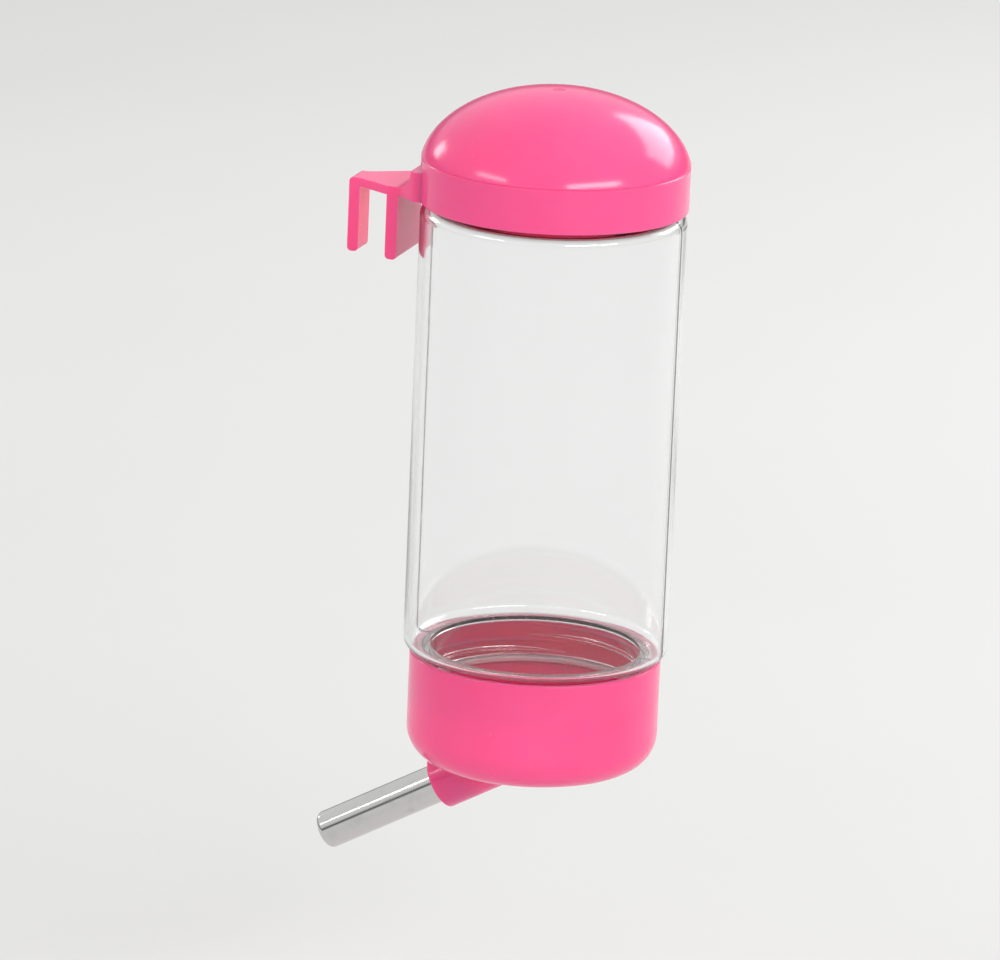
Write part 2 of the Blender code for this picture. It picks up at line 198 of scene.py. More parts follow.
def lathe(name: str, outline: Outline, segments: int, closed: bool = False) -> bpy.types.Object:
    """Turn an outline about the Z axis.

    Args:
        name: Name of the new object.
        outline: Points as (radius, height); an open outline starts and ends at radius 0.
        segments: Steps round the axis.
        closed: Whether the last point joins the first.

    Returns:
        A closed mesh object at the origin.
    """
    shell = bmesh.new()
    rings = []
    for radius, height in outline:
        if radius < 1e-9:
            rings.append([shell.verts.new((0.0, 0.0, height))] * segments)
            continue
        angles = [2 * math.pi * i / segments for i in range(segments)]
        rings.append([shell.verts.new((radius * math.cos(a), radius * math.sin(a), height)) for a in angles])
    pairs = list(zip(rings, rings[1:]))
    if closed:
        pairs.append((rings[-1], rings[0]))
    for upper, lower in pairs:
        for i in range(segments):
            j = (i + 1) % segments
            corners = list(dict.fromkeys([upper[i], lower[i], lower[j], upper[j]]))
            if len(corners) > 2:
                shell.faces.new(corners)
    return mesh_object(name, shell)


def extruded(name: str, outline: Outline, depth: float) -> bpy.types.Object:
    """Give a flat outline in XY a thickness, half of it on each side.

    Args:
        name: Name of the new object.
        outline: Points as (x, y).
        depth: The thickness.

    Returns:
        A closed mesh object.
    """
    shell = bmesh.new()
    low = [shell.verts.new((x, y, -depth / 2)) for x, y in outline]
    high = [shell.verts.new((x, y, depth / 2)) for x, y in outline]
    shell.faces.new(low)
    shell.faces.new(high)
    for i in range(len(outline)):
        j = (i + 1) % len(outline)
        shell.faces.new((low[i], low[j], high[j], high[i]))
    return mesh_object(name, shell)


def swept(
    name: str,
    section: Outline,
    path: Callable[[float], tuple[Vector, Vector, Vector]],
    stations: int,
    scale: Callable[[float], float] = lambda share: 1.0,
) -> bpy.types.Object:
    """Sweep a closed section along a path.

    Args:
        name: Name of the new object.
        section: Points across the path, as (out, up).
        path: Gives, for a share of the way, the place and the section's two axes.
        stations: Number of sections along the path.
        scale: Gives the section's size for a share of the way.

    Returns:
        A closed mesh object with flat ends.
    """
    shell = bmesh.new()
    rings = []
    for i in range(stations):
        share = i / (stations - 1)
        place, out, up = path(share)
        size = scale(share)
        rings.append([shell.verts.new(place + out * (x * size) + up * (y * size)) for x, y in section])
    for first, second in zip(rings, rings[1:]):
        for i in range(len(section)):
            j = (i + 1) % len(section)
            shell.faces.new((first[i], first[j], second[j], second[i]))
    shell.faces.new(rings[0])
    shell.faces.new(rings[-1])
    return mesh_object(name, shell)


def applied(obj: bpy.types.Object) -> bpy.types.Object:
    """Apply every modifier of an object.

    Args:
        obj: The object.

    Returns:
        The same object, with its new mesh.
    """
    graph = bpy.context.evaluated_depsgraph_get()
    mesh = bpy.data.meshes.new_from_object(obj.evaluated_get(graph))
    mesh.name = obj.name
    obj.modifiers.clear()
    obj.data = mesh
    return obj


def combine(base: bpy.types.Object, tool: bpy.types.Object, join: Join) -> bpy.types.Object:
    """Join, cut or intersect a solid with another, which is used up.

    Args:
        base: Solid that stays.
        tool: Solid that is used up.
        join: What to do.

    Returns:
        The base, with its new mesh.
    """
    step = base.modifiers.new("combine", "BOOLEAN")
    step.object = tool
    step.operation = join.value
    step.solver = "EXACT"
    applied(base)
    bpy.data.objects.remove(tool)
    return base


def softened(obj: bpy.types.Object, width: float, segments: int = 3, angle: float = 32.0) -> bpy.types.Object:
    """Round the sharp edges of a solid.

    Args:
        obj: The solid.
        width: Width of the rounding.
        segments: Faces across it.
        angle: Smallest angle to round, in degrees.

    Returns:
        The same object, with its new mesh.
    """
    step = obj.modifiers.new("soften", "BEVEL")
    step.width = width
    step.segments = segments
    step.limit_method = "ANGLE"
    step.angle_limit = math.radians(angle)
    return applied(obj)


def smooth(obj: bpy.types.Object, angle: float = 34.0) -> bpy.types.Object:
    """Shade an object smooth, with its flat faces kept flat.

    Args:
        obj: The object.
        angle: Edges past this angle, in degrees, stay sharp.

    Returns:
        The same object.
    """
    obj.data.shade_smooth()
    obj.data.set_sharp_from_angle(angle=math.radians(angle))
    step = obj.modifiers.new("normals", "WEIGHTED_NORMAL")
    step.keep_sharp = True
    return applied(obj)


def moved(obj: bpy.types.Object, matrix: Matrix) -> bpy.types.Object:
    """Move an object's vertices, so that the object itself stays at the origin.

    Args:
        obj: The object.
        matrix: Where its vertices go.

    Returns:
        The same object.
    """
    obj.data.transform(matrix)
    obj.data.update()
    return obj


def finish_piece(
    obj: bpy.types.Object, material: bpy.types.Material, body: Body, node: str
) -> None:
    """Dress a piece, and set the body it rides on and the node that it stands for.

    Args:
        obj: The piece.
        material: Its finish.
        body: Body that carries the piece.
        node: CAD node that the piece replaces.
    """
    obj.data.materials.clear()
    obj.data.materials.append(material)
    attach(obj, body.value)
    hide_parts(node)
    LOG.info("%s: %d faces on %s", obj.name, len(obj.data.polygons), body.value)


# ---------------------------------------------------------------- layout


@dataclass(frozen=True)
class Layout:
    """Places read from the frame.

    Attributes:
        axis_y: Where the bottle's vertical axis stands along Y.
        lid: Lowest and highest corner of the lid with its hook.
        bottle: The same for the clear bottle.
        cup: The same for the cup with its boss.
        lid_seal: The same for the upper seal ring.
        cup_seal: The same for the lower seal ring.
        spout_out: Direction of the spout, outwards.
        ball: Middle of the valve ball.
        ball_radius: Its radius.
    """

    axis_y: float
    lid: tuple[Vector, Vector]
    bottle: tuple[Vector, Vector]
    cup: tuple[Vector, Vector]
    lid_seal: tuple[Vector, Vector]
    cup_seal: tuple[Vector, Vector]
    spout_out: Vector
    ball: Vector
    ball_radius: float

    @classmethod
    def from_frame(cls) -> "Layout":
        """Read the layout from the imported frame.

        Returns:
            The layout.
        """
        bottle = tuple(Vector(c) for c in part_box("bottle_body"))
        ball = tuple(Vector(c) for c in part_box("nozzle_ball"))
        push = next(j for j in frame["joints"] if j["name"] == "ball_push")
        return cls(
            axis_y=(bottle[0].y + bottle[1].y) / 2,
            lid=tuple(Vector(c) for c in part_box("hook_lid")),
            bottle=bottle,
            cup=tuple(Vector(c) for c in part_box("spout_cup")),
            lid_seal=tuple(Vector(c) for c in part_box("lid_seal")),
            cup_seal=tuple(Vector(c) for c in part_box("cup_seal")),
            spout_out=-Vector(push["axis"]).normalized(),
            ball=(ball[0] + ball[1]) / 2,
            ball_radius=(ball[1].x - ball[0].x) / 2,
        )

    def upright(self) -> Matrix:
        """Give the matrix that takes a turned piece to the bottle's axis."""
        return Matrix.Translation((0.0, self.axis_y, 0.0))

    def along_spout(self) -> Matrix:
        """Give the matrix that takes +Z to the spout's direction, 0 at the ball's middle."""
        turn = Vector((0.0, 0.0, 1.0)).rotation_difference(self.spout_out)
        return Matrix.Translation(self.ball) @ turn.to_matrix().to_4x4()

    def radius(self, corners: tuple[Vector, Vector]) -> float:
        """Give half the width of a box across the bottle."""
        return (corners[1].x - corners[0].x) / 2


# ---------------------------------------------------------------- materials


class Nodes:
    """Small helper that builds a node tree."""

    def __init__(self, name: str) -> None:
        """Start an empty material.

        Args:
            name: Name of the material.
        """
        self.material = bpy.data.materials.new(name)
        self.material.use_nodes = True
        self.tree = self.material.node_tree
        self.tree.nodes.clear()
        self.output = self.tree.nodes.new("ShaderNodeOutputMaterial")
        self.coordinates = self.tree.nodes.new("ShaderNodeTexCoord").outputs["Object"]

    def add(self, kind: str, values: dict[str, object] | None = None, **settings: object) -> bpy.types.Node:
        """Add a node.

        Args:
            kind: Node type without its ShaderNode prefix.
            values: Values or links for its inputs, by name.
            settings: Properties of the node.

        Returns:
            The node.
        """
        node = self.tree.nodes.new("ShaderNode" + kind)
        for key, value in settings.items():
            setattr(node, key, value)
        for key, value in (values or {}).items():
            if isinstance(value, bpy.types.NodeSocket):
                self.tree.links.new(value, node.inputs[key])
            else:
                node.inputs[key].default_value = value
        return node

    def stretched(self, scale: Triple, turn: Triple = (0.0, 0.0, 0.0)) -> object:
        """Give object coordinates turned by Euler angles, then scaled."""
        return self.add("Mapping", {"Vector": self.coordinates, "Scale": scale, "Rotation": turn}).outputs[0]

    def noise(self, scale: float, detail: float = 3.0, vector: object = None, rough: float = 0.5) -> object:
        """Give a noise factor."""
        values = {"Scale": scale, "Detail": detail, "Roughness": rough, "Vector": vector or self.coordinates}
        return self.add("TexNoise", values).outputs["Fac"]

    def ramp(self, factor: object, low: float, high: float, out_low: float, out_high: float) -> object:
        """Map a factor from one range to another, clamped."""
        values = {"Value": factor, 1: low, 2: high, 3: out_low, 4: out_high}
        return self.add("MapRange", values).outputs[0]

    def mixed(self, factor: object, first: Sequence[float], second: Sequence[float]) -> object:
        """Mix two colours by a factor."""
        node = self.add("Mix", {0: factor, 6: (*first, 1.0), 7: (*second, 1.0)}, data_type="RGBA")
        return node.outputs[2]

    def maths(self, kind: str, first: object, second: object = 0.5) -> object:
        """Give the result of a Math node."""
        return self.add("Math", {0: first, 1: second}, operation=kind).outputs[0]

    def bump(self, height: object, strength: float, distance: float, normal: object = None) -> object:
        """Give a bumped normal.

        Args:
            height: Link that gives the height.
            strength: Strength of the bump.
            distance: Its depth in metres.
            normal: Normal to start from, if any.

        Returns:
            The link that gives the normal.
        """
        values = {"Height": height, "Strength": strength, "Distance": distance}
        if normal:
            values["Normal"] = normal
        return self.add("Bump", values).outputs[0]

    def surface(self, shader: object) -> bpy.types.Material:
        """Link a shader to the output and give the material."""
        self.tree.links.new(shader, self.output.inputs["Surface"])
        return self.material


@dataclass(frozen=True)
class GlossPlastic:
    """Opaque injection-moulded plastic: glossy, a little translucent, lightly scuffed.

    Attributes:
        name: Name of the material.
        colour: Linear base colour.
        deep: Colour of the slightly denser patches.
        roughness: Roughness of the clean surface.
    """

    name: str
    colour: tuple[float, float, float]
    deep: tuple[float, float, float]
    roughness: float = 0.17

    def material(self) -> bpy.types.Material:
        """Build the material.

        Returns:
            The new material.
        """
        nodes = Nodes(self.name)
        flow = nodes.noise(26.0, 4.0)
        colour = nodes.mixed(nodes.ramp(flow, 0.35, 0.7, 0.0, 1.0), self.colour, self.deep)
        specks = nodes.ramp(nodes.noise(1100.0, 2.0), 0.6, 0.72, 0.0, 1.0)
        handled = nodes.ramp(nodes.noise(45.0, 5.0), 0.4, 0.7, 0.0, 1.0)
        worn = nodes.maths("MULTIPLY", specks, handled)
        roughness = nodes.ramp(worn, 0.0, 1.0, self.roughness, self.roughness + 0.12)
        peel = nodes.bump(nodes.noise(420.0, 2.0), 0.05, 0.0003)
        sink = nodes.bump(nodes.noise(38.0, 1.0), 0.05, 0.002, peel)
        values = {
            "Base Color": colour,
            "Roughness": roughness,
            "Normal": sink,
            "IOR": 1.46,
            "Subsurface Weight": 0.6,
            "Subsurface Radius": (1.0, 0.35, 0.4),
            "Subsurface Scale": 0.0045,
        }
        shader = nodes.add("BsdfPrincipled", values)
        return nodes.surface(shader.outputs[0])


@dataclass(frozen=True)
class ClearPlastic:
    """Clear moulded plastic with parting lines, faint waves and fine scratches.

    Attributes:
        name: Name of the material.
        tint: Linear colour of what passes a wall.
        seam_width: Width of the mould's parting lines.
    """

    name: str
    tint: tuple[float, float, float]
    seam_width: float = 0.5 * MM

    def material(self) -> bpy.types.Material:
        """Build the material.

        Returns:
            The new material.
        """
        nodes = Nodes(self.name)
        place = nodes.add("SeparateXYZ", {"Vector": nodes.coordinates})
        aside = nodes.maths("ABSOLUTE", place.outputs["X"])
        seam = nodes.ramp(aside, 0.0, self.seam_width, 1.0, 0.0)
        waves = nodes.noise(30.0, 1.0, nodes.stretched((1.0, 1.0, 0.35)))
        scratches = nodes.noise(2600.0, 2.0, nodes.stretched((1.0, 1.0, 0.04), (0.5, 0.3, 0.0)))
        scuffed = nodes.maths("MULTIPLY", nodes.ramp(scratches, 0.62, 0.74, 0.0, 1.0), nodes.noise(24.0, 4.0))
        roughness = nodes.ramp(scuffed, 0.0, 0.6, 0.02, 0.2)
        wavy = nodes.bump(waves, 0.12, 0.004)
        normal = nodes.bump(seam, 0.5, 0.0002, wavy)
        values = {
            "Base Color": (*self.tint, 1.0),
            "Roughness": roughness,
            "Normal": normal,
            "IOR": 1.49,
            "Transmission Weight": 1.0,
        }
        return nodes.surface(nodes.add("BsdfPrincipled", values).outputs[0])


@dataclass(frozen=True)
class Silicone:
    """Soft translucent seal rubber with a fine matt skin.

    Attributes:
        name: Name of the material.
        colour: Linear base colour.
    """

    name: str
    colour: tuple[float, float, float]

    def material(self) -> bpy.types.Material:
        """Build the material.

        Returns:
            The new material.
        """
        nodes = Nodes(self.name)
        cloud = nodes.ramp(nodes.noise(90.0, 4.0), 0.3, 0.7, 0.0, 1.0)
        dull = tuple(0.86 * c for c in self.colour)
        skin = nodes.bump(nodes.noise(1600.0, 3.0), 0.15, 0.0002)
        values = {
            "Base Color": nodes.mixed(cloud, self.colour, dull),
            "Roughness": nodes.ramp(nodes.noise(300.0), 0.3, 0.7, 0.42, 0.6),
            "Normal": skin,
            "IOR": 1.41,
            "Subsurface Weight": 0.5,
            "Subsurface Radius": (1.0, 0.9, 0.8),
            "Subsurface Scale": 0.0015,
        }
        return nodes.surface(nodes.add("BsdfPrincipled", values).outputs[0])


class Grain(Enum):
    """Which way fine lines run on metal, as a stretch of its coordinates."""

    ALONG = (40.0, 40.0, 1.0)
    EVEN = (12.0, 12.0, 12.0)


@dataclass(frozen=True)
class Steel:
    """Polished stainless steel with drawn or turned lines and faint water marks.

    Attributes:
        name: Name of the material.
        grain: Which way the lines run.
        axis: Direction that the lines are measured from.
        colour: Linear colour of the metal.
        roughness: Roughness of the cleanest metal.
    """

    name: str
    grain: Grain
    axis: tuple[float, float, float]
    colour: tuple[float, float, float] = (0.62, 0.618, 0.61)
    roughness: float = 0.07

    def material(self) -> bpy.types.Material:
        """Build the material.

        Returns:
            The new material.
        """
        nodes = Nodes(self.name)
        turn = Vector(self.axis).rotation_difference(Vector((0.0, 0.0, 1.0))).to_euler()
        lines = nodes.noise(60.0, 6.0, nodes.stretched(self.grain.value, tuple(turn)), 0.7)
        marks = nodes.ramp(nodes.noise(140.0, 5.0), 0.52, 0.68, 0.0, 1.0)
        drawn = nodes.ramp(lines, 0.3, 0.7, self.roughness, self.roughness + 0.06)
        roughness = nodes.maths("ADD", drawn, nodes.maths("MULTIPLY", marks, 0.07))
        dull = tuple(0.88 * c for c in self.colour)
        values = {
            "Base Color": nodes.mixed(marks, self.colour, dull),
            "Metallic": 1.0,
            "Roughness": roughness,
            "Normal": nodes.bump(lines, 0.08, 0.0001),
        }
        return nodes.surface(nodes.add("BsdfPrincipled", values).outputs[0])


@dataclass(frozen=True)
class StudioFloor:
    """Pale matt floor with a very faint mottle.

    Attributes:
        name: Name of the material.
        colour: Linear base colour.
    """

    name: str
    colour: tuple[float, float, float]

    def material(self) -> bpy.types.Material:
        """Build the material.

        Returns:
            The new material.
        """
        nodes = Nodes(self.name)
        mottle = nodes.ramp(nodes.noise(3.0, 5.0), 0.3, 0.7, 0.0, 1.0)
        dull = tuple(0.975 * c for c in self.colour)
        values = {"Base Color": nodes.mixed(mottle, self.colour, dull), "Roughness": 0.85}
        return nodes.surface(nodes.add("BsdfPrincipled", values).outputs[0])


# ---------------------------------------------------------------- threads and seals


@dataclass(frozen=True)
class ScrewThread:
    """One right-handed thread bead on a neck or in a bore.

    Attributes:
        pitch: Rise of one turn.
        proud: How far the crest stands off the wall.
        root: Width of the bead on the wall.
        crest: Width of its crest.
        sunk: How far its foot reaches into the wall.
        run_out: Share of its length over which each end fades.
        set_back: From a neck's rim to the middle of the bead's end.
        plain: Height of a neck that stays without a thread.
    """

    pitch: float = 4.5 * MM
    proud: float = 1.2 * MM
    root: float = 2.1 * MM
    crest: float = 0.8 * MM
    sunk: float = 0.7 * MM
    run_out: float = 0.09
    set_back: float = 1.1 * MM
    plain: float = 3.0 * MM

    def turns(self, neck: float) -> float:
        """Give the number of turns on a neck of a height."""
        return (neck - self.plain) / self.pitch - 0.5

    def bead(self, name: str, wall: float, start: float, turns: float, outward: bool) -> bpy.types.Object:
        """Make the bead about the Z axis.

        Args:
            name: Name of the new object.
            wall: Radius of the wall that it stands on.
            start: Height of its lower end.
            turns: Number of turns.
            outward: True on a neck, False in a bore.

        Returns:
            A closed solid whose foot is sunk in the wall.
        """
        side = 1.0 if outward else -1.0
        foot = wall - side * self.sunk
        rise = self.proud + self.sunk
        corners = [
            (0.0, -self.root / 2, 0.0),
            (rise, -self.crest / 2, 0.35 * MM),
            (rise, self.crest / 2, 0.35 * MM),
            (0.0, self.root / 2, 0.0),
        ]
        section = rounded(corners, 4)

        def path(share: float) -> tuple[Vector, Vector, Vector]:
            """Give the place and axes of one section.

            Args:
                share: Share of the whole length, from 0 to 1.

            Returns:
                The middle, and the directions of the section's x and y.
            """
            angle = 2 * math.pi * turns * share
            out = Vector((math.cos(angle), math.sin(angle), 0.0))
            height = start + self.pitch * turns * share
            return out * foot + Vector((0.0, 0.0, height)), out * side, Vector((0.0, 0.0, 1.0))

        def fade(share: float) -> float:
            """Give the section's size, small at both ends.

            Args:
                share: Share of the whole length, from 0 to 1.

            Returns:
                The scale of the section.
            """
            near = min(share, 1.0 - share) / self.run_out
            eased = min(1.0, max(0.0, near))
            return 0.42 + 0.58 * eased * eased * (3 - 2 * eased)

        return swept(name, section, path, round(turns * 96), fade)


@dataclass(frozen=True)
class SealRing:
    """Flat silicone ring with rounded edges and a thin raised lip on each face.

    Attributes:
        edge: Rounding of its four edges.
        lip: Height of the lips.
        segments: Steps round the ring.
    """

    edge: float = 0.35 * MM
    lip: float = 0.12 * MM
    segments: int = 144

    def build(self, name: str, corners: tuple[Vector, Vector], width: float) -> bpy.types.Object:
        """Make the ring that fills a seal's box.

        Args:
            name: Name of the new object.
            corners: Lowest and highest corner of the seal.
            width: Radial width of the ring.

        Returns:
            The ring about the Z axis, at its height.
        """
        outer = (corners[1].x - corners[0].x) / 2
        inner = outer - width
        middle = (inner + outer) / 2
        low = corners[0].z
        high = corners[1].z
        flat_low = low + self.lip
        flat_high = high - self.lip
        outline = rounded(
            [
                (outer, flat_high, self.edge),
                (middle + 2 * self.edge, flat_high, 0.0),
                (middle, high, self.lip),
                (middle - 2 * self.edge, flat_high, 0.0),
                (inner, flat_high, self.edge),
                (inner, flat_low, self.edge),
                (middle - 2 * self.edge, flat_low, 0.0),
                (middle, low, self.lip),
                (middle + 2 * self.edge, flat_low, 0.0),
                (outer, flat_low, self.edge),
            ],
            4,
        )
        return smooth(lathe(name, outline, self.segments, closed=True))


# ---------------------------------------------------------------- lid


@dataclass
class HookLid:
    """Domed screw lid with its moulded hook, and the seal under its seat.

    Attributes:
        layout: Places from the frame.
        plastic: Finish of the lid.
        rubber: Finish of the seal.
        wall: Wall thickness.
        skirt: Height of the straight side.
        sunk: How far the middle of the dome's ellipse lies below the top of the side.
        groove: Depth and height of the fine groove under the dome.
        seat_bore: Radius inside the seal's seat.
        strap: Thickness of the hook's strap.
        root_fillet: Hollow rounding where the strap meets the side.
        root_width: Width of the strap at the side.
        wire_place: From the outer leg to the middle of the cage wire.
        gap: Clear width between the legs.
        inner_leg: Thickness, width and drop of the leg by the bottle.
        outer_leg: The same for the outer leg.
        thread: The lid's thread.
    """

    layout: Layout
    plastic: bpy.types.Material
    rubber: bpy.types.Material
    wall: float = 1.8 * MM
    skirt: float = 13.0 * MM
    sunk: float = 4.0 * MM
    groove: tuple[float, float] = (0.22 * MM, 0.7 * MM)
    seat_bore: float = 31.5 * MM
    strap: float = 2.5 * MM
    root_fillet: float = 6.0 * MM
    root_width: float = 32.0 * MM
    wire_place: float = 3.8 * MM
    gap: float = 9.9 * MM
    inner_leg: tuple[float, float, float] = (3.5 * MM, 21.0 * MM, 18.5 * MM)
    outer_leg: tuple[float, float, float] = (3.2 * MM, 9.0 * MM, 18.8 * MM)
    thread: ScrewThread = field(default_factory=ScrewThread)

    def dome(self, wall: float, first: float, last: float, steps: int) -> Outline:
        """Give the dome's outline between two radii.

        Args:
            wall: How far the outline lies inside the dome's outer surface.
            first: Radius of the first point.
            last: Radius of the last one.
            steps: Number of chords.

        Returns:
            The points in order.
        """
        high = self.layout.lid[1].z - self.skirt + self.sunk
        wide = self.layout.radius(self.layout.lid) / math.sqrt(1.0 - (self.sunk / high) ** 2)
        middle = self.skirt - self.sunk
        angles = [math.degrees(math.acos(radius / (wide - wall))) for radius in (first, last)]
        unit = arc((0.0, 0.0), 1.0, *angles, steps)
        return [(x * (wide - wall), middle + y * (high - wall)) for x, y in unit]

    def outline(self) -> Outline:
        """Give the outline of the shell, outside from the top, then back inside.

        Returns:
            The points in order.
        """
        radius = self.layout.radius(self.layout.lid)
        crown = self.layout.lid[1].z
        gate = 1.3 * MM
        dimple = 0.25 * MM
        edge = 0.45 * MM
        depth, height = self.groove
        seat = self.layout.lid_seal[1].z + FIT_GAP
        bore = radius - self.wall
        outline = [(0.0, crown - dimple), (0.7 * gate, crown - dimple)]
        outline += self.dome(0.0, gate, radius, 48)
        outline += [(radius, self.skirt - 0.1 * MM), (radius - depth, self.skirt - 0.4 * height)]
        outline += [(radius - depth, self.skirt - 0.6 * height), (radius, self.skirt - height)]
        outline += arc((radius - edge, edge), edge, 0.0, -90.0, 5)
        outline += arc((bore + edge, edge), edge, -90.0, -180.0, 5)
        outline += [(bore, seat), (self.seat_bore, seat)]
        outline += self.dome(self.wall, self.seat_bore, 0.5 * MM, 24)
        return outline + [(0.0, crown - self.wall)]

    def hook(self) -> bpy.types.Object:
        """Make the hook, its strap and legs kept between a side and a plan outline.

        Returns:
            A closed solid that reaches into the lid's wall.
        """
        radius = self.layout.radius(self.layout.lid)
        outer_in = self.wire_place - self.layout.axis_y
        inner_out = outer_in - self.gap
        inner_in = inner_out - self.inner_leg[0]
        outer_out = outer_in + self.outer_leg[0]
        root = radius - 3 * self.wall
        tip = 1.2 * MM
        side = [(root, 0.0), (inner_in, 0.0)]
        side += arc((inner_in + tip, tip - self.inner_leg[2]), tip, 180.0, 270.0, 6)
        side += arc((inner_out - tip, tip - self.inner_leg[2]), tip, 270.0, 360.0, 6)
        side += [(inner_out, 0.0), (outer_in, 0.0)]
        side += arc((outer_in + tip, tip - self.outer_leg[2]), tip, 180.0, 270.0, 6)
        side += arc((outer_out - tip, tip - self.outer_leg[2]), tip, 270.0, 360.0, 6)
        side += arc((outer_out - tip, self.strap - tip), tip, 0.0, 90.0, 6)
        bend = (radius + self.root_fillet, self.strap + self.root_fillet)
        side += arc(bend, self.root_fillet, 270.0, 180.0, 14)
        side += [(root, self.strap + self.root_fillet)]
        solid = extruded("hook_side", side, 2 * self.root_width)
        moved(solid, Matrix.Rotation(math.radians(90), 4, "Z") @ Matrix.Rotation(math.radians(90), 4, "X"))
        half = [
            (self.root_width / 2, root - self.wall, 0.0),
            (self.root_width / 2, radius - 1.2 * MM, 2.5 * MM),
            (self.inner_leg[1] / 2, inner_in, 5.0 * MM),
            (self.inner_leg[1] / 2, inner_out, 1.0 * MM),
            (self.outer_leg[1] / 2, outer_in, 3.0 * MM),
            (self.outer_leg[1] / 2, outer_out + tip, 0.0),
        ]
        plan = rounded(half + [(-x, y, r) for x, y, r in reversed(half)], 6)
        limits = extruded("hook_plan", plan, 4 * self.layout.lid[1].z)
        softened(combine(solid, limits, Join.COMMON), 0.6 * MM)
        core_radius = radius - self.wall / 2
        core = [(0.0, radius), (core_radius, radius), (core_radius, -radius), (0.0, -radius)]
        return combine(solid, lathe("hook_core", core, 192), Join.CUT)

    def build(self) -> None:
        """Make and dress the lid and its seal."""
        place = self.layout.upright()
        shell = lathe("lid_shell", self.outline(), 192)
        combine(shell, self.hook(), Join.UNION)
        hollow = self.layout.radius(self.layout.lid) - self.wall
        turns = self.thread.turns(TOP_NECK)
        start = self.layout.bottle[1].z - self.thread.set_back - self.thread.pitch * (turns + 0.5)
        bead = self.thread.bead("lid_thread", hollow, start, turns, outward=False)
        combine(shell, bead, Join.UNION)
        smooth(moved(shell, place))
        finish_piece(shell, self.plastic, Body.LID, "hook_lid")
        seal = SealRing().build("lid_seal_ring", self.layout.lid_seal, SEAL_WIDTH)
        finish_piece(moved(seal, place), self.rubber, Body.UPPER_SEAL, "lid_seal")


# ---------------------------------------------------------------- bottle


@dataclass
class ClearBottle:
    """Clear bottle with a rounded shoulder and a threaded neck at each end.

    Attributes:
        layout: Places from the frame.
        plastic: Finish of the bottle.
        wall: Wall thickness of the tube.
        neck_wall: Wall thickness of the necks.
        shoulder: Rounding at both ends of the tube.
        top_neck: Outer radius and height of the top neck.
        low_neck: The same for the lower neck.
        thread: Thread of both necks.
    """

    layout: Layout
    plastic: bpy.types.Material
    wall: float = 1.5 * MM
    neck_wall: float = 2.0 * MM
    shoulder: float = 3.5 * MM
    top_neck: tuple[float, float] = (33.9 * MM, TOP_NECK)
    low_neck: tuple[float, float] = (31.8 * MM, LOW_NECK)
    thread: ScrewThread = field(default_factory=ScrewThread)

    def outline(self) -> Outline:
        """Give the closed outline of the wall, outside down and inside up.

        Returns:
            The points in order.
        """
        radius = self.layout.radius(self.layout.bottle)
        rim = self.layout.bottle[1].z
        foot = self.layout.bottle[0].z
        high = rim - self.top_neck[1]
        low = foot + self.low_neck[1]
        bend = radius - self.shoulder
        inner = self.shoulder - self.wall
        top = self.top_neck[0]
        bottom = self.low_neck[0]
        edge = 0.4 * MM
        root = 0.6 * MM
        outline = arc((top - edge, rim - edge), edge, 90.0, 0.0, 4)
        outline += [(top, high)]
        outline += arc((bend, high - self.shoulder), self.shoulder, 88.0, 0.0, 14)
        outline += arc((bend, low + self.shoulder), self.shoulder, 0.0, -90.0, 14)
        outline += arc((bottom + root, low - root), root, 90.0, 180.0, 4)
        outline += arc((bottom - edge, foot + edge), edge, 0.0, -90.0, 4)
        outline += arc((bottom - self.neck_wall + edge, foot + edge), edge, -90.0, -180.0, 4)
        outline += [(bottom - self.neck_wall, low + self.wall)]
        outline += arc((bend, low + self.shoulder), inner, -90.0, 0.0, 10)
        outline += arc((bend, high - self.shoulder), inner, 0.0, 90.0, 10)
        outline += [(top - self.neck_wall, high - self.wall)]
        outline += arc((top - self.neck_wall + edge, rim - edge), edge, 180.0, 90.0, 4)
        return outline

    def build(self) -> None:
        """Make and dress the bottle."""
        shell = lathe("bottle_shell", self.outline(), 192, closed=True)
        turns = self.thread.turns(self.top_neck[1])
        start = self.layout.bottle[1].z - self.thread.set_back - self.thread.pitch * turns
        bead = self.thread.bead("top_thread", self.top_neck[0], start, turns, outward=True)
        combine(shell, bead, Join.UNION)
        turns = self.thread.turns(self.low_neck[1])
        start = self.layout.bottle[0].z + self.thread.set_back
        bead = self.thread.bead("low_thread", self.low_neck[0], start, turns, outward=True)
        combine(shell, bead, Join.UNION)
        smooth(moved(shell, self.layout.upright()), 40.0)
        finish_piece(shell, self.plastic, Body.BOTTLE, "bottle_body")


# ---------------------------------------------------------------- cup


